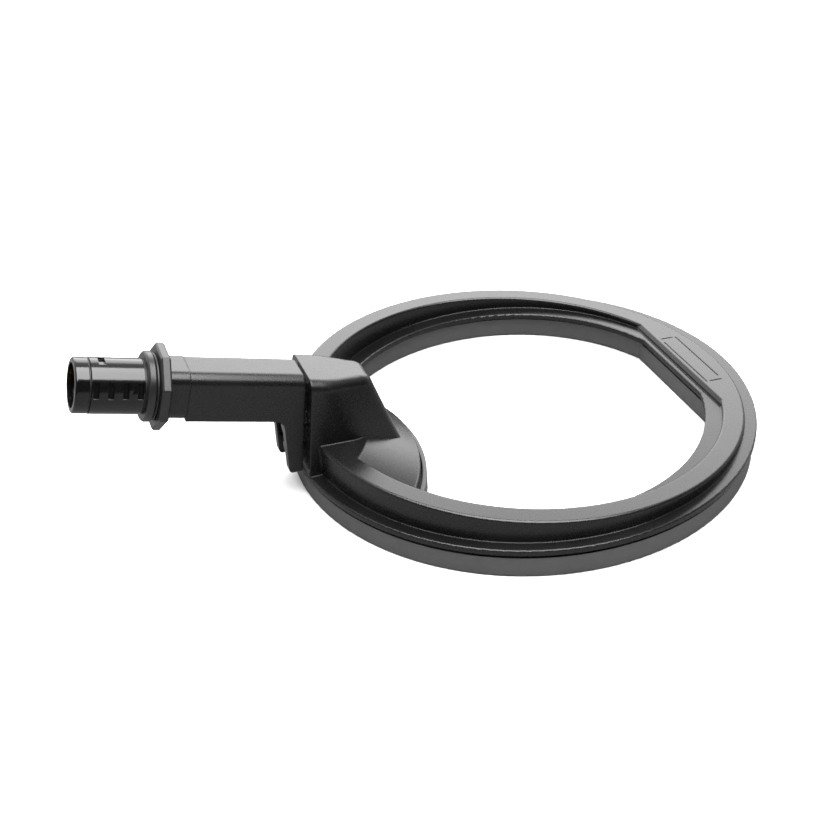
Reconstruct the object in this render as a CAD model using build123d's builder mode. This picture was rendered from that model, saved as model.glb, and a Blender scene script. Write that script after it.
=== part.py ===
from build123d import *
from math import cos, radians, sin, tan
import os

os.makedirs("parts", exist_ok=True)

# Search head of a metal detector with its plug-in stem, in millimetres, +Z up.
# The head lies flat on its skid; the stem rises from the hub towards -X.

# ---- head, in plan ----
flange_r = 105.0        # outer rim of the top shell
flange_hole_r = 82.8    # edge of the shell round the open middle
flange_hole_x = 78.6    # straight far side of the open middle
hump_r = 99.6           # raised band that holds the winding
hump_hole_r = 90.0
hump_hole_x = 81.2
web_x = -125.0          # centre of the arc that edges the web
web_r = 72.3
skid_r = 104.0
skid_hole_r = 85.6
skid_hole_x = 79.4
web_slope = 30.0        # degrees, the web climbs from its edge to the hood
web_reach = 2.0         # the web runs this far into the band
skid_web_lip = 2.6      # the skid shows this much past the web's edge

# ---- head, in height ----
skid_h = 9.4
skid_floor = 2.0
skid_wall = 1.8
skid_gap = 0.4          # skid to head, sideways
seat_gap = 0.3          # skid floor to base plate
shadow_gap = 1.9        # skid rim to the flange
flange_t = 2.4
base_t = 2.0
shell_wall = 1.8
crest_z = 21.4          # crest height above the floor at the middle of the head
crest_fall = 3.7        # degrees, the crest drops towards the far side
crest_round = 1.0
flange_edge = 0.5
skid_edge = 0.8
chord_bevel = 1.5

# ---- hub hood ----
hood_w = 32.4
hood_top_w = 29.0
hood_back_x = -104.0    # foot of the face towards the stem
hood_lean = 7.0         # degrees, that face leans over the head
hood_taper_x = -77.0    # the sides turn inwards from here
hood_nose_w = 19.0
hood_nose_x = -58.8     # foot of the nose
hood_nose_round = 3.0   # at the foot
hood_nose_crown = 8.0   # and high up, where the nose is blunter
hood_side_round = 24.0
hood_nose_lean = 19.0
hood_top_z = 59.6       # top of the hood above its back edge
hood_round = 4.6
hood_wall = 2.4

# ---- stem ----
stem_rise = 15.5        # degrees
seam_x = -148.2         # stem axis where the collar meets the stem
seam_z = 61.2
stem_w = 21.0
stem_h = 20.4
stem_round = 5.0
stem_edge = 1.6
stem_wall = 2.5
parting = 1.4           # open joint between stem and hood
leg_x = -110.9          # outer face of the leg that reaches down beside the head
leg_clear = 0.4         # leg above the flange
leg_bend = 5.0
leg_slot_w = 11.5
leg_slot_depth = 3.4
tongue_inset = 3.0      # tongue is smaller than the stem all round
tongue_l = 15.0
tongue_gap = 0.2
tongue_wall = 2.2
end_wall = 3.0          # stem wall at the parting
leg_foot_round = 1.5
leg_slot_top = 23.0     # height of the slot above the leg's foot

# ---- plug: lengths along its axis, counted from the mouth ----
nose_l = 5.5
nose_groove = 0.8
barrel_l = 21.4
seal_flange_l = 3.4
face_ring_l = 1.2
index_flange_l = 3.9
collar_l = 8.4
spigot_l = 8.0          # tail of the plug body inside the stem
barrel_d = 22.5
mouth_d = 18.0
nose_thread_d = 20.0
spigot_d = 19.0
tail_d = 15.0
body_bore_d = 16.4
tail_bore_d = 10.4
thread_start = 2.6      # the nose ring screws on from here
nose_round = 1.0
nose_step = 0.2         # nose ring is this much smaller in diameter than the barrel
thread_gap = 0.05
seal_d = 21.6
seal_l = 0.8
face_ring_mid_d = 26.0
flange_chamfer = 0.7
seal_flange_d = 28.5
index_flange_af = 33.0  # octagon, across its flats
index_round = 1.2
collar_w = 21.6
collar_h = 21.0
slot_count = 4
slot_pitch = 5.75
slot_l = 2.3
slot_w = 6.6
slot_depth = 1.3
slot_lead = 1.7         # middle of the first slot behind the nose groove
slot_turn = 17.0        # degrees above the horizontal
notch_l = 2.6
notch_w = 5.6
notch_at = 4.5          # behind the nose groove

# ---- contacts ----
pin_count = 5
pin_d = 1.7
pin_circle_d = 11.4
pin_recess = 2.4
insert_at = 9.0
insert_l = 6.0
cup_l = 4.0
cup_d = 2.4

# ---- inside the head ----
former_h = 5.6
former_wall = 0.9
former_gap = 0.8        # former to the shell's walls
shield_t = 0.5
pour_t = 0.8
lead_d = 5.0
lead_turn_x = -78.0     # the lead drops into the head here
lead_bend = 12.0
lead_foot_bend = 8.0
lead_gap = 0.3
grommet_l = 3.0
grommet_gap = 0.1
filler_l = 8.0          # sealing plug behind the contacts

# ---- fasteners ----
screw_d = 3.0
screw_head_d = 5.6
screw_head_l = 2.0
screw_l = 7.0
screw_low = 6.4         # lower screw above the leg's foot
screw_pitch = 10.0
screw_gap = 0.1

# ---- label place ----
label_x = 88.6          # along the far side of the band's top
label_w = 7.8
label_l = 42.0
label_line = 0.5
label_depth = 0.3
label_break = 3.2       # two opposite corners stay open

# ---- derived ----
flange_z = skid_h + shadow_gap
ledge_z = flange_z + flange_t
base_z = skid_floor + seat_gap
body_z = base_z + base_t
fall = radians(crest_fall)
rise = radians(stem_rise)
plug_l = (nose_l + nose_groove + barrel_l + seal_flange_l + face_ring_l
          + index_flange_l + collar_l)
mouth_x = seam_x - plug_l * cos(rise)
mouth_z = seam_z + plug_l * sin(rise)
reach = mouth_x - barrel_d / 2 * sin(rise)
coil_x = -(reach + flange_r) / 2    # centres the whole object on the origin

tongue_w = stem_w - 2 * tongue_inset
tongue_h = stem_h - 2 * tongue_inset
skirt_r = skid_r - skid_wall - skid_gap
skirt_hole_r = skid_hole_r + skid_wall + skid_gap
skirt_hole_x = skid_hole_x + skid_wall + skid_gap
skirt_web_r = web_r - shell_wall
leg_z = ledge_z + leg_clear
filler_s = insert_at + insert_l + cup_l

coil = Plane(origin=(coil_x, 0, 0))
side = Plane(origin=(coil_x, 0, 0), x_dir=(1, 0, 0), z_dir=(0, -1, 0))
plug = Plane(origin=(coil_x + mouth_x, 0, mouth_z), x_dir=(0, 1, 0),
             z_dir=(cos(rise), 0, -sin(rise)))
crest = Plane(origin=(coil_x, 0, crest_z), x_dir=(cos(fall), 0, -sin(fall)),
              z_dir=(sin(fall), 0, cos(fall)))
hood_top = Plane(origin=(coil_x + hood_back_x, 0, hood_top_z), x_dir=(cos(rise), 0, -sin(rise)),
                 z_dir=(sin(rise), 0, cos(rise)))
lean = radians(hood_lean)
hood_back = Plane(origin=(coil_x + hood_back_x, 0, ledge_z), x_dir=(0, 1, 0),
                  z_dir=(-cos(lean), 0, sin(lean)))


def axis_z(x):
    """Height of the stem's axis at x, counted from the middle of the head."""
    return seam_z - (x - seam_x) * tan(rise)


def parting_x(z):
    """The stem's end face at height z: the hood's back face moved out by the open joint."""
    return hood_back_x - parting / cos(lean) + (z - ledge_z) * tan(lean)


# where the stem's top line and its axis meet the parting
stem_top_z = ((axis_z(0) + stem_h / 2 / cos(rise) - parting_x(0) * tan(rise))
              / (1 + tan(lean) * tan(rise)))
stem_end_z = (axis_z(0) - parting_x(0) * tan(rise)) / (1 + tan(lean) * tan(rise))
stem_l = (parting_x(stem_end_z) - seam_x) / cos(rise)
stem = plug.offset(plug_l)
leg_face = Plane(origin=(coil_x + leg_x + leg_slot_depth, 0, 0), x_dir=(0, 1, 0), z_dir=(1, 0, 0))
screw_spots = [(0, leg_z + screw_low), (0, leg_z + screw_low + screw_pitch)]
out_up = (sin(rise), 0, cos(rise))
slot_dir = (sin(rise) * sin(radians(slot_turn)), -cos(radians(slot_turn)),
            cos(rise) * sin(radians(slot_turn)))
slot_face = Plane(origin=plug.origin, x_dir=plug.z_dir, z_dir=slot_dir)
notch_face = Plane(origin=plug.origin, x_dir=plug.z_dir, z_dir=out_up)


def save(builder, name):
    """Label a finished piece and write it to its own file."""
    builder.part.label = name
    export_step(builder.part, f"parts/{name}.step")


def head_face(z, outer_r, hole_r, hole_x, arc_r):
    """Plan of the head: a disc with an open middle that the web and a straight side close in."""
    with BuildSketch(coil.offset(z)) as face:
        with BuildSketch(coil.offset(z), mode=Mode.PRIVATE) as opening:
            Circle(hole_r)
            with Locations((hole_x + hole_r, 0)):
                Rectangle(2 * hole_r, 2 * hole_r, mode=Mode.SUBTRACT)
            with Locations((web_x, 0)):
                Circle(arc_r, mode=Mode.SUBTRACT)
        Circle(outer_r)
        add(opening.sketch_local, mode=Mode.SUBTRACT)
    return face.sketch


def ring_part(inner_r, outer_r, z, height):
    """A plain ring about the head's axis."""
    with BuildPart() as ring:
        with BuildSketch(coil.offset(z)):
            Circle(outer_r)
            Circle(inner_r, mode=Mode.SUBTRACT)
        extrude(amount=height)
    return ring.part


def hood_plan(z, inset, draft, shift, nose_round):
    """Plan of the hood at one height: parallel sides that turn inwards to a blunt nose."""
    back = hood_back_x - hood_w
    half = (hood_w - draft) / 2 - inset
    nose_half = (hood_nose_w - draft) / 2 - inset
    taper_x = hood_taper_x + shift
    nose_x = hood_nose_x + shift - inset
    with BuildSketch(coil.offset(z)) as plan:
        with BuildLine():
            Polyline((back, -half), (taper_x, -half), (nose_x, -nose_half),
                     (nose_x, nose_half), (taper_x, half), (back, half), close=True)
        make_face()
        fillet(plan.vertices().group_by(Axis.X)[-1], nose_round - inset)
        fillet([v for v in plan.vertices() if abs(v.X - taper_x) < parting], hood_side_round)
    return plan.sketch


def hood_solid(z, inset):
    """The hood's outside, or its inside where an inset is given."""
    climb = hood_top_z + stem_h - ledge_z
    draft = (hood_w - hood_top_w) * climb / (hood_top_z - ledge_z)
    with BuildPart() as hood:
        loft([hood_plan(ledge_z, inset, 0, 0, hood_nose_round),
              hood_plan(ledge_z + climb, inset, draft, -climb * tan(radians(hood_nose_lean)),
                        hood_nose_crown)], ruled=True)
        if z < ledge_z:
            extrude(hood_plan(z, inset, 0, 0, hood_nose_round), amount=ledge_z - z)
        split(bisect_by=hood_top.offset(-inset), keep=Keep.BOTTOM)
        split(bisect_by=hood_back.offset(-inset), keep=Keep.BOTTOM)
    return hood.part


def band_solid(z, inset):
    """Outside of the raised band and of the web's slope, or their inside with an inset."""
    edge_x = web_x + web_r - flange_edge - inset / cos(radians(web_slope))
    climb = 2 * crest_z
    with BuildPart() as band:
        with BuildSketch(side):
            with BuildLine():
                Polyline((web_x, z), (edge_x, z), (edge_x, ledge_z),
                         (edge_x - crest_z / tan(radians(web_slope)), ledge_z + crest_z),
                         (web_x, ledge_z + crest_z), close=True)
            make_face()
        revolve(axis=Axis((coil_x + web_x, 0, 0), (0, 0, 1)))
        with BuildSketch(coil.offset(z)):
            Circle(hump_hole_r + web_reach)
        extrude(amount=climb, mode=Mode.INTERSECT)
        with BuildSketch(coil.offset(z)):
            with BuildSketch(coil.offset(z), mode=Mode.PRIVATE) as opening:
                Circle(hump_hole_r + inset)
                with Locations((hump_hole_x + inset + hump_hole_r, 0)):
                    Rectangle(2 * hump_hole_r, 2 * hump_hole_r, mode=Mode.SUBTRACT)
            Circle(hump_r - inset)
            add(opening.sketch_local, mode=Mode.SUBTRACT)
        extrude(amount=climb)
        split(bisect_by=crest.offset(-inset), keep=Keep.BOTTOM)
    return band.part


# ---- top shell: flange, raised band, web and hub hood in one moulding ----
with BuildPart() as flange_plate:
    extrude(head_face(flange_z, flange_r, flange_hole_r, flange_hole_x, web_r), amount=flange_t)
    fillet(flange_plate.faces().sort_by(Axis.Z)[-1].edges(), flange_edge)

with BuildPart() as band_outside:
    add(band_solid(flange_z, 0))
    far_edge = band_outside.faces().sort_by(Axis.Z)[-1].edges().filter_by(Axis.Y).sort_by(Axis.X)[-1]
    chamfer(far_edge, chord_bevel)
    fillet(band_outside.faces().sort_by(Axis.Z)[-1].edges().filter_by(GeomType.LINE, reverse=True),
           crest_round)

with BuildPart() as hood_outside:
    add(hood_solid(ledge_z, 0))
    hood_roof = hood_outside.faces().sort_by(Axis.Z)[-1]
    back_edge = hood_roof.edges().sort_by(Axis.X)[0]
    fillet(hood_roof.edges() - [back_edge], hood_round)

with BuildPart() as coil_top_shell:
    add(flange_plate.part)
    extrude(head_face(body_z, skirt_r, skirt_hole_r, skirt_hole_x, skirt_web_r),
            amount=flange_z - body_z)
    add(band_outside.part)
    add(hood_outside.part)
    # open underneath, hollow band and hood
    extrude(head_face(body_z, skirt_r - shell_wall, skirt_hole_r + shell_wall,
                      skirt_hole_x + shell_wall, skirt_web_r - shell_wall),
            amount=flange_z - body_z, mode=Mode.SUBTRACT)
    add(band_solid(flange_z, shell_wall), mode=Mode.SUBTRACT)
    add(hood_solid(flange_z, hood_wall), mode=Mode.SUBTRACT)
    # way in for the stem's tongue
    with BuildSketch(stem.offset(stem_l - end_wall)):
        RectangleRounded(tongue_w + 2 * tongue_gap, tongue_h + 2 * tongue_gap, stem_edge)
    extrude(amount=2 * end_wall + 2 * hood_wall, mode=Mode.SUBTRACT)
    # screw holes in the hood's back wall
    with BuildSketch(leg_face):
        with Locations(*screw_spots):
            Circle(screw_d / 2 + screw_gap)
    extrude(amount=screw_l + parting, mode=Mode.SUBTRACT)
    # thin outline round the label place, open at two opposite corners
    with BuildSketch(crest):
        with Locations((label_x - label_w / 2, -label_break / 2)):
            Rectangle(label_line, label_l - label_break)
        with Locations((label_x + label_w / 2, label_break / 2)):
            Rectangle(label_line, label_l - label_break)
        with Locations((label_x - label_break / 4, label_l / 2)):
            Rectangle(label_w - label_break / 2, label_line)
        with Locations((label_x + label_break / 4, -label_l / 2)):
            Rectangle(label_w - label_break / 2, label_line)
    extrude(amount=-label_depth, mode=Mode.SUBTRACT)
save(coil_top_shell, "coil_top_shell")

with BuildPart() as coil_base_plate:
    extrude(head_face(base_z, skirt_r, skirt_hole_r, skirt_hole_x, skirt_web_r), amount=base_t)
save(coil_base_plate, "coil_base_plate")

# ---- skid: a channel that snaps over the head from below ----
with BuildPart() as skid_plate:
    extrude(head_face(0, skid_r, skid_hole_r, skid_hole_x, web_r + skid_web_lip), amount=skid_h)
    fillet(skid_plate.faces().sort_by(Axis.Z)[0].edges(), skid_edge)
    extrude(head_face(skid_floor, skid_r - skid_wall, skid_hole_r + skid_wall,
                      skid_hole_x + skid_wall, web_r + skid_web_lip - skid_wall),
            amount=skid_h - skid_floor, mode=Mode.SUBTRACT)
save(skid_plate, "skid_plate")

# ---- winding and what holds it ----
former_in = skirt_hole_r + shell_wall + former_gap
former_out = skirt_r - shell_wall - former_gap
with BuildPart() as winding_former:
    add(ring_part(former_in, former_out, body_z, former_h))
    add(ring_part(former_in + former_wall, former_out - former_wall, body_z + former_wall, former_h),
        mode=Mode.SUBTRACT)
save(winding_former, "winding_former")

with BuildPart() as search_winding:
    add(ring_part(former_in + former_wall, former_out - former_wall, body_z + former_wall,
                  former_h - 2 * former_wall))
save(search_winding, "search_winding")

with BuildPart() as winding_shield:
    add(ring_part(former_in, former_out, body_z + former_h, shield_t))
save(winding_shield, "winding_shield")

with BuildPart() as sealing_pour:
    add(ring_part(former_in, former_out, body_z + former_h + shield_t, pour_t))
save(sealing_pour, "sealing_pour")

# ---- stem with its down-turned leg ----
half_rise = stem_h / 2 / cos(rise)
with BuildPart() as stem_shell:
    with BuildSketch(side):
        with BuildLine():
            Polyline((seam_x + stem_h / 2 * sin(rise), seam_z + stem_h / 2 * cos(rise)),
                     (parting_x(stem_top_z), stem_top_z),
                     (parting_x(leg_z), leg_z),
                     (leg_x, leg_z),
                     (leg_x, axis_z(leg_x) - half_rise),
                     (seam_x - stem_h / 2 * sin(rise), seam_z - stem_h / 2 * cos(rise)),
                     close=True)
        profile = make_face()
        inner_corner = profile.vertices().sort_by_distance(
            (leg_x, axis_z(leg_x) - half_rise, 0))[0]
        fillet(inner_corner, leg_bend)
    extrude(amount=stem_w / 2, both=True)
    roof = stem_shell.faces().sort_by(Axis.Z)[-1]
    fillet(roof.edges().filter_by(Axis.Y, reverse=True), stem_round)
    under = stem_shell.faces().filter_by(Plane.XY).sort_by(Axis.Z)[0]
    fillet(under.edges().sort_by(Axis.X)[0], leg_foot_round)
    # bore, tongue and its passage
    with BuildSketch(stem):
        RectangleRounded(stem_w - 2 * stem_wall, stem_h - 2 * stem_wall, stem_edge)
    extrude(amount=stem_l - end_wall - stem_wall, mode=Mode.SUBTRACT)
    with BuildSketch(stem.offset(stem_l - end_wall)):
        RectangleRounded(tongue_w, tongue_h, stem_edge)
    extrude(amount=end_wall + tongue_l)
    with BuildSketch(stem.offset(stem_l - end_wall - stem_wall)):
        RectangleRounded(tongue_w - 2 * tongue_wall, tongue_h - 2 * tongue_wall, stem_edge)
    extrude(amount=end_wall + stem_wall + tongue_l, mode=Mode.SUBTRACT)
    # open channel in the leg, with the screw holes at its back
    with BuildSketch(leg_face):
        with Locations((0, leg_z + leg_slot_top / 2)):
            Rectangle(leg_slot_w, leg_slot_top)
    extrude(amount=-2 * leg_slot_depth, mode=Mode.SUBTRACT)
    with BuildSketch(leg_face):
        with Locations(*screw_spots):
            Circle(screw_d / 2 + screw_gap)
    extrude(amount=screw_l, mode=Mode.SUBTRACT)
save(stem_shell, "stem_shell")

with BuildPart() as leg_screws:
    with BuildSketch(leg_face):
        with Locations(*screw_spots):
            Circle(screw_d / 2)
    extrude(amount=screw_l)
    with BuildSketch(leg_face):
        with Locations(*screw_spots):
            Circle(screw_head_d / 2)
    extrude(amount=-screw_head_l)
    with BuildSketch(leg_face.offset(-screw_head_l)):
        with Locations(*screw_spots):
            RegularPolygon(screw_d / 2 * 0.6, 6)
    extrude(amount=screw_head_l / 2, mode=Mode.SUBTRACT)
save(leg_screws, "leg_screws")

with BuildPart() as lead_grommet:
    with BuildSketch(stem.offset(stem_l + tongue_l - grommet_l)):
        RectangleRounded(tongue_w - 2 * tongue_wall - grommet_gap,
                         tongue_h - 2 * tongue_wall - grommet_gap, stem_edge)
        Circle(lead_d / 2 + grommet_gap / 2, mode=Mode.SUBTRACT)
    extrude(amount=grommet_l)
save(lead_grommet, "lead_grommet")

with BuildPart() as stem_collar:
    with BuildSketch(plug.offset(plug_l - collar_l)):
        RectangleRounded(collar_w, collar_h, stem_round)
        Circle(tail_d / 2 + thread_gap, mode=Mode.SUBTRACT)
    extrude(amount=collar_l)
save(stem_collar, "stem_collar")

# ---- plug, built along its own axis from the mouth ----
barrel_s = nose_l + nose_groove
barrel_end = barrel_s + barrel_l
seal_flange_s = barrel_end
face_ring_s = seal_flange_s + seal_flange_l
index_flange_s = face_ring_s + face_ring_l
collar_s = index_flange_s + index_flange_l

with BuildPart() as plug_body:
    with BuildSketch(plug.offset(thread_start)):
        Circle(nose_thread_d / 2 - thread_gap)
    extrude(amount=barrel_s - thread_start)
    with BuildSketch(plug.offset(barrel_s)):
        Circle(barrel_d / 2)
    extrude(amount=barrel_l - seal_l)
    with BuildSketch(plug.offset(barrel_end - seal_l)):
        Circle(spigot_d / 2)
    extrude(amount=collar_s - barrel_end + seal_l)
    with BuildSketch(plug.offset(collar_s)):
        Circle(tail_d / 2)
    extrude(amount=collar_l + spigot_l)
    with BuildSketch(plug.offset(thread_start)):
        Circle(body_bore_d / 2)
    extrude(amount=filler_s + filler_l - thread_start, mode=Mode.SUBTRACT)
    with BuildSketch(plug.offset(filler_s + filler_l)):
        Circle(tail_bore_d / 2)
    extrude(amount=plug_l, mode=Mode.SUBTRACT)
    with BuildSketch(slot_face.offset(barrel_d / 2 - slot_depth)):
        with Locations((barrel_s + slot_lead + slot_pitch * (slot_count - 1) / 2, 0)):
            with GridLocations(slot_pitch, 0, slot_count, 1):
                Rectangle(slot_l, slot_w)
    extrude(amount=2 * slot_depth, mode=Mode.SUBTRACT)
    with BuildSketch(notch_face.offset(barrel_d / 2 - slot_depth)):
        with Locations((barrel_s + notch_at, 0)):
            Rectangle(notch_l, notch_w)
    extrude(amount=2 * slot_depth, mode=Mode.SUBTRACT)
save(plug_body, "plug_body")

with BuildPart() as nose_ring:
    with BuildSketch(plug):
        Circle((barrel_d - nose_step) / 2)
    extrude(amount=nose_l)
    fillet(nose_ring.edges().filter_by(GeomType.CIRCLE).sort_by(Axis.X)[0], nose_round)
    with BuildSketch(plug):
        Circle(mouth_d / 2)
    extrude(amount=nose_l, mode=Mode.SUBTRACT)
    with BuildSketch(plug.offset(thread_start)):
        Circle(nose_thread_d / 2)
    extrude(amount=nose_l, mode=Mode.SUBTRACT)
save(nose_ring, "nose_ring")


def o_ring(station, mid_d, section_d):
    """A round-section ring about the plug's axis."""
    with BuildPart() as ring:
        with BuildSketch(Plane(origin=plug.offset(station).origin, x_dir=(0, 1, 0),
                               z_dir=(sin(rise), 0, cos(rise)))):
            with Locations((mid_d / 2, 0)):
                Circle(section_d / 2)
        revolve(axis=Axis(plug.origin, plug.z_dir))
    return ring


nose_seal = o_ring(nose_l + nose_groove / 2, nose_thread_d + nose_groove, nose_groove)
save(nose_seal, "nose_seal")
face_seal = o_ring(face_ring_s + face_ring_l / 2, face_ring_mid_d, face_ring_l)
save(face_seal, "face_seal")


def washer(station, length, outer_d, inner_d):
    """A flat ring about the plug's axis."""
    with BuildPart() as ring:
        with BuildSketch(plug.offset(station)):
            Circle(outer_d / 2)
            Circle(inner_d / 2, mode=Mode.SUBTRACT)
        extrude(amount=length)
    return ring


barrel_seal = washer(barrel_end - seal_l, seal_l, seal_d, spigot_d)
save(barrel_seal, "barrel_seal")

seal_flange = washer(seal_flange_s, seal_flange_l, seal_flange_d, spigot_d)
with seal_flange:
    chamfer(seal_flange.edges().filter_by(GeomType.CIRCLE).group_by(SortBy.RADIUS)[-1], flange_chamfer)
save(seal_flange, "seal_flange")

with BuildPart() as index_flange:
    with BuildSketch(plug.offset(index_flange_s)):
        RegularPolygon(index_flange_af / 2, 8, major_radius=False, rotation=180 / 8)
        fillet(vertices(), index_round)
        Circle(spigot_d / 2, mode=Mode.SUBTRACT)
    extrude(amount=index_flange_l)
    front = index_flange.faces().sort_by(Axis.X)[0]
    chamfer(front.outer_wire().edges(), flange_chamfer)
save(index_flange, "index_flange")

# ---- contacts ----
with BuildPart() as contact_insert:
    with BuildSketch(plug.offset(insert_at)):
        Circle(body_bore_d / 2 - thread_gap)
        with PolarLocations(pin_circle_d / 2, pin_count):
            Circle(pin_d / 2, mode=Mode.SUBTRACT)
    extrude(amount=insert_l)
save(contact_insert, "contact_insert")

with BuildPart() as contact_pins:
    with BuildSketch(plug.offset(pin_recess)):
        with PolarLocations(pin_circle_d / 2, pin_count):
            Circle(pin_d / 2)
    extrude(amount=insert_at + insert_l - pin_recess)
    fillet(contact_pins.faces().filter_by(lambda f: f.center().X < plug.offset(insert_at / 2).origin.X
                                          and f.geom_type == GeomType.PLANE).edges(), pin_d / 4)
    with BuildSketch(plug.offset(insert_at + insert_l)):
        with PolarLocations(pin_circle_d / 2, pin_count):
            Circle(cup_d / 2)
    extrude(amount=cup_l)
save(contact_pins, "contact_pins")

with BuildPart() as contact_filler:
    with BuildSketch(plug.offset(filler_s)):
        Circle(body_bore_d / 2 - thread_gap)
        Circle(lead_d / 2, mode=Mode.SUBTRACT)
    extrude(amount=filler_l)
save(contact_filler, "contact_filler")

# ---- lead from the contacts to the winding ----
lead_start_x = mouth_x + filler_s * cos(rise)
lead_floor = body_z + lead_gap + lead_d / 2
with BuildPart() as winding_lead:
    with BuildLine(side) as route:
        FilletPolyline((lead_start_x, axis_z(lead_start_x)), (lead_turn_x, axis_z(lead_turn_x)),
                       (lead_turn_x, lead_floor), (-former_in + lead_gap, lead_floor),
                       radius=[lead_bend, lead_foot_bend])
    with BuildSketch(plug.offset(filler_s)):
        Circle(lead_d / 2)
    sweep(path=route.wires()[0])
save(winding_lead, "winding_lead")
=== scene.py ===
import bpy
import bmesh
import math
from mathutils import Matrix, Vector


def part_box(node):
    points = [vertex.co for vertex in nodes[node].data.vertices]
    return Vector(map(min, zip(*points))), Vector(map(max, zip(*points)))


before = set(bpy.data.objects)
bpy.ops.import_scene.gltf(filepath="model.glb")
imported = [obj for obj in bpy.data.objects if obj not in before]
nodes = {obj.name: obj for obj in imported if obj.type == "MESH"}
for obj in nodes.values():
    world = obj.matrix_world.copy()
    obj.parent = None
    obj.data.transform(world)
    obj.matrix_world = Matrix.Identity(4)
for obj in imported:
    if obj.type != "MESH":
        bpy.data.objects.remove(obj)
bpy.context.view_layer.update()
print("frame loaded:", len(nodes), "pieces")


# a socket that takes part in sums
class Field:
    def __init__(self, tree, socket):
        self.tree = tree
        self.socket = socket

    def maths(self, operation, other, swapped=False):
        node = self.tree.nodes.new("ShaderNodeMath")
        node.operation = operation
        pair = (other, self) if swapped else (self, other)
        for place, value in zip(node.inputs, pair):
            plug(self.tree, place, value)
        return Field(self.tree, node.outputs[0])

    def __add__(self, other):
        return self.maths("ADD", other)

    def __radd__(self, other):
        return self.maths("ADD", other, True)

    def __sub__(self, other):
        return self.maths("SUBTRACT", other)

    def __rsub__(self, other):
        return self.maths("SUBTRACT", other, True)

    def __mul__(self, other):
        return self.maths("MULTIPLY", other)

    def __rmul__(self, other):
        return self.maths("MULTIPLY", other, True)


# links a field to a socket, or sets the socket's value
def plug(tree, place, value):
    if isinstance(value, Field):
        tree.links.new(value.socket, place)
    elif place.type == "RGBA":
        place.default_value = (*value, 1)
    else:
        place.default_value = value


# the nodes of one material, or of the sky
class Finish:
    def __init__(self, owner):
        owner.use_nodes = True
        self.tree = owner.node_tree
        self.tree.nodes.clear()

    # any node: its type, its settings, then its sockets
    def node(self, kind, settings=None, inputs=None, output=0):
        made = self.tree.nodes.new("ShaderNode" + kind)
        for key, value in (settings or {}).items():
            setattr(made, key, value)
        for key, value in (inputs or {}).items():
            plug(self.tree, made.inputs[key], value)
        return Field(self.tree, made.outputs[output]) if made.outputs else None

    def noise(self, scale, detail, roughness):
        place = self.node("TexCoord", output="Object")
        return self.node("TexNoise", {}, {"Vector": place, "Scale": scale,
                                          "Detail": detail, "Roughness": roughness})

    def blend(self, share, first, second):
        return self.node("Mix", {"data_type": "RGBA"}, {0: share, 6: first, 7: second}, 2)

    def bump(self, height, distance, strength, normal=None):
        inputs = {"Height": height, "Distance": distance, "Strength": strength}
        if normal is not None:
            inputs["Normal"] = normal
        return self.node("Bump", {}, inputs)

    def surface(self, **sockets):
        shader = self.node("BsdfPrincipled", {}, {key.replace("_", " "): value
                                                  for key, value in sockets.items()})
        self.node("OutputMaterial", {}, {"Surface": shader})


noiseMiddle = 0.5     # a noise swings about this value

moulding = {
    "grainDetail": 2.0,
    "cloudDetail": 4.0,
    "noiseRoughness": 0.6,
    "cloudSheen": 0.10,     # how far clouds and grain swing the roughness
    "grainSheen": 0.06,
    "grainStrength": 0.8,
    "edgeSamples": 6,
}


def mouldedPlastic(look):
    material = bpy.data.materials.new(look["name"])
    f = Finish(material)
    grain = f.noise(look["grainScale"], moulding["grainDetail"], moulding["noiseRoughness"])
    clouds = f.noise(look["cloudScale"], moulding["cloudDetail"], moulding["noiseRoughness"])
    soft = f.node("Bevel", {"samples": moulding["edgeSamples"]}, {"Radius": look["edge"]})
    f.surface(
        Base_Color=f.blend(clouds, look["dark"], look["light"]),
        Roughness=(look["roughness"] + moulding["cloudSheen"] * (clouds - noiseMiddle)
                   + moulding["grainSheen"] * (grain - noiseMiddle)),
        Normal=f.bump(grain, look["grainDepth"], moulding["grainStrength"], soft))
    return material


turning = {
    "streakScale": 900.0,
    "streakDetail": 3.0,
    "streakRoughness": 0.6,
    "streakSheen": 0.12,
    "streakDepth": 0.00002,
    "streakStrength": 0.5,
}


def brightMetal(look):
    material = bpy.data.materials.new(look["name"])
    f = Finish(material)
    streaks = f.noise(turning["streakScale"], turning["streakDetail"], turning["streakRoughness"])
    f.surface(
        Base_Color=f.blend(streaks, look["dark"], look["light"]),
        Metallic=1.0,
        Roughness=look["roughness"] + turning["streakSheen"] * (streaks - noiseMiddle),
        Normal=f.bump(streaks, turning["streakDepth"], turning["streakStrength"]))
    return material


# black shell plastic with a fine spark-eroded skin
shellFinish = {
    "name": "shellPlastic",
    "dark": (0.0022, 0.0021, 0.0024),
    "light": (0.0042, 0.0041, 0.0045),
    "roughness": 0.27,
    "grainScale": 2100.0,
    "grainDepth": 0.000022,
    "cloudScale": 38.0,
    "edge": 0.0008,
}

skidFinish = {
    "name": "skidPlastic",
    "dark": (0.040, 0.040, 0.041),
    "light": (0.056, 0.056, 0.057),
    "roughness": 0.58,
    "grainScale": 1500.0,
    "grainDepth": 0.00006,
    "cloudScale": 30.0,
    "edge": 0.0003,
}

plugFinish = {
    "name": "plugPlastic",
    "dark": (0.0015, 0.0015, 0.0015),
    "light": (0.003, 0.003, 0.003),
    "roughness": 0.14,
    "grainScale": 900.0,
    "grainDepth": 0.00001,
    "cloudScale": 60.0,
    "edge": 0.00025,
}

flangeFinish = {
    "name": "flangePlastic",
    "dark": (0.006, 0.006, 0.0065),
    "light": (0.010, 0.010, 0.011),
    "roughness": 0.32,
    "grainScale": 2200.0,
    "grainDepth": 0.00002,
    "cloudScale": 50.0,
    "edge": 0.0003,
}

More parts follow.
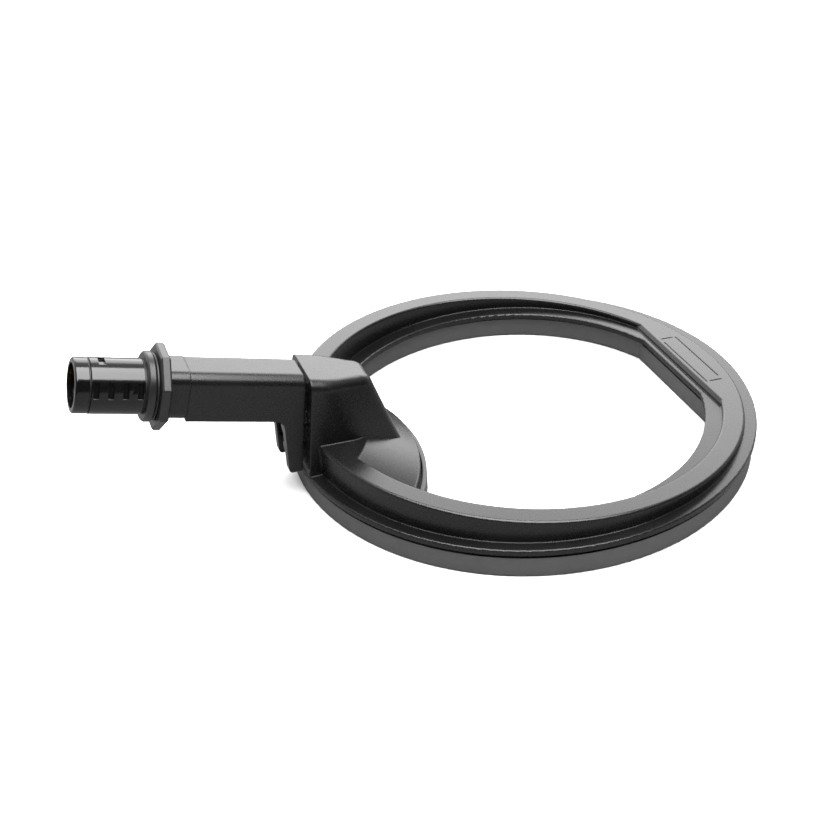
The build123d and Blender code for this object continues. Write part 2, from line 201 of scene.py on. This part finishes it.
rubberFinish = {
    "name": "sealRubber",
    "dark": (0.006, 0.006, 0.006),
    "light": (0.010, 0.010, 0.010),
    "roughness": 0.42,
    "grainScale": 1400.0,
    "grainDepth": 0.00002,
    "cloudScale": 90.0,
    "edge": 0.0001,
}

formerFinish = {
    "name": "formerPlastic",
    "dark": (0.62, 0.60, 0.54),
    "light": (0.70, 0.68, 0.62),
    "roughness": 0.5,
    "grainScale": 1200.0,
    "grainDepth": 0.00003,
    "cloudScale": 40.0,
    "edge": 0.0002,
}

resinFinish = {
    "name": "castResin",
    "dark": (0.012, 0.012, 0.016),
    "light": (0.022, 0.022, 0.028),
    "roughness": 0.25,
    "grainScale": 300.0,
    "grainDepth": 0.00008,
    "cloudScale": 60.0,
    "edge": 0.0002,
}

goldFinish = {
    "name": "contactGold",
    "dark": (0.72, 0.50, 0.18),
    "light": (0.90, 0.70, 0.32),
    "roughness": 0.22,
}

steelFinish = {
    "name": "screwSteel",
    "dark": (0.40, 0.40, 0.41),
    "light": (0.58, 0.58, 0.60),
    "roughness": 0.30,
}

foilFinish = {
    "name": "shieldFoil",
    "dark": (0.55, 0.56, 0.58),
    "light": (0.72, 0.73, 0.75),
    "roughness": 0.38,
}

copperFinish = {
    "name": "enamelledCopper",
    "dark": (0.42, 0.15, 0.06),
    "light": (0.62, 0.27, 0.12),
    "roughness": 0.30,
}

shellPlastic = mouldedPlastic(shellFinish)
skidPlastic = mouldedPlastic(skidFinish)
plugPlastic = mouldedPlastic(plugFinish)
flangePlastic = mouldedPlastic(flangeFinish)
sealRubber = mouldedPlastic(rubberFinish)
formerPlastic = mouldedPlastic(formerFinish)
castResin = mouldedPlastic(resinFinish)
contactGold = brightMetal(goldFinish)
screwSteel = brightMetal(steelFinish)
shieldFoil = brightMetal(foilFinish)
enamelledCopper = brightMetal(copperFinish)
print("finishes made")

painted = {
    "coil_top_shell": shellPlastic, "stem_shell": shellPlastic, "stem_collar": shellPlastic,
    "coil_base_plate": shellPlastic, "skid_plate": skidPlastic,
    "plug_body": plugPlastic, "nose_ring": plugPlastic, "contact_insert": plugPlastic,
    "seal_flange": flangePlastic, "index_flange": flangePlastic,
    "nose_seal": sealRubber, "face_seal": sealRubber, "barrel_seal": sealRubber,
    "lead_grommet": sealRubber, "winding_lead": sealRubber,
    "contact_pins": contactGold, "leg_screws": screwSteel, "winding_shield": shieldFoil,
    "search_winding": enamelledCopper, "winding_former": formerPlastic,
    "contact_filler": castResin, "sealing_pour": castResin,
}


def paint(node, material):
    mesh = nodes[node].data
    mesh.materials.clear()
    mesh.materials.append(material)


for node, material in painted.items():
    paint(node, material)
print("pieces painted:", len(painted))

studio = {
    "floorSize": 5.0,
    "floorColour": (0.86, 0.86, 0.86),
    "floorPaintedReflection": (0.16, 0.16, 0.16),   # painted reflection: the floor is darker in glossy rays only, so the plastic's walls mirror painted shade
    "skyColour": (1, 1, 1),
    "skySeen": 1.0,           # the sky's strength as the camera sees it
    "frontGlow": 0.05,        # its light from the camera's side
    "backGlow": 1.5,          # and from behind the object
    "glowStart": -0.3,        # where the one starts to turn into the other
    "glowEnd": 0.8,
    "overhead": {"at": (0.0, -0.30, 1.50), "width": 1.6, "depth": 1.6, "watts": 88.0},
    "backPanel": {"at": (0.45, 1.55, 0.80), "width": 2.6, "depth": 1.1, "watts": 30.0},
}


def makeFloor():
    mesh = bpy.data.meshes.new("floor")
    form = bmesh.new()
    bmesh.ops.create_grid(form, x_segments=1, y_segments=1, size=studio["floorSize"] / 2)
    form.to_mesh(mesh)
    form.free()
    floor = bpy.data.objects.new("floor", mesh)
    bpy.context.collection.objects.link(floor)
    material = bpy.data.materials.new("studioFloor")
    f = Finish(material)
    # painted reflection: glossy rays see the floor in its dark colour, while the camera and
    # diffuse light see it white
    paintedReflectionMask = f.node("LightPath", output="Is Glossy Ray")
    colour = f.blend(paintedReflectionMask, studio["floorColour"], studio["floorPaintedReflection"])
    f.node("OutputMaterial", {}, {"Surface": f.node("BsdfDiffuse", {}, {"Color": colour})})
    mesh.materials.append(material)


def makeSky():
    world = bpy.data.worlds.new("studioSky")
    bpy.context.scene.world = world
    f = Finish(world)
    place = f.node("TexCoord", output="Generated")
    away = f.node("SeparateXYZ", {}, {0: place}, "Y")
    glow = f.node("MapRange", {}, {"Value": away, "From Min": studio["glowStart"],
                                   "From Max": studio["glowEnd"], "To Min": studio["frontGlow"],
                                   "To Max": studio["backGlow"]}, "Result")
    lit = f.node("Background", {}, {"Color": studio["skyColour"], "Strength": glow})
    seen = f.node("Background", {}, {"Color": studio["skyColour"], "Strength": studio["skySeen"]})
    camera = f.node("LightPath", output="Is Camera Ray")
    f.node("OutputWorld", {}, {"Surface": f.node("MixShader", {}, {0: camera, 1: lit, 2: seen})})


def makeLamp(name, look):
    lamp = bpy.data.lights.new(name, "AREA")
    lamp.shape = "RECTANGLE"
    lamp.size = look["width"]
    lamp.size_y = look["depth"]
    lamp.energy = look["watts"]
    holder = bpy.data.objects.new(name, lamp)
    holder.location = look["at"]
    holder.rotation_euler = (-Vector(look["at"])).to_track_quat("-Z", "Y").to_euler()
    bpy.context.collection.objects.link(holder)


makeFloor()
makeSky()
makeLamp("overhead", studio["overhead"])
makeLamp("backPanel", studio["backPanel"])
bpy.context.scene.view_settings.view_transform = "Standard"
print("studio lit")

headMiddle = (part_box("skid_plate")[0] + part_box("skid_plate")[1]) / 2
eye = {
    "azimuth": -18.84,
    "elevation": 33.22,
    "distance": 0.6212,
    "aimBack": 0.0402,      # from the skid's middle towards the plug
    "aimAside": 0.03465,
    "roll": -2.86,
    "lens": 57.75,
    "sensor": 36.0,
    "nearest": 0.01,
}


def makeCamera():
    a, e = math.radians(eye["azimuth"]), math.radians(eye["elevation"])
    back = Vector((math.sin(a) * math.cos(e), -math.cos(a) * math.cos(e), math.sin(e)))
    aim = Vector((headMiddle.x - eye["aimBack"], eye["aimAside"], 0.0))
    camera = bpy.data.cameras.new("camera")
    camera.lens = eye["lens"]
    camera.sensor_width = eye["sensor"]
    camera.clip_start = eye["nearest"]
    holder = bpy.data.objects.new("camera", camera)
    turn = (-back).to_track_quat("-Z", "Y").to_matrix().to_4x4()
    roll = Matrix.Rotation(math.radians(eye["roll"]), 4, "Z")
    holder.matrix_world = Matrix.Translation(aim + back * eye["distance"]) @ turn @ roll
    bpy.context.collection.objects.link(holder)
    bpy.context.scene.camera = holder


makeCamera()
print("camera set")
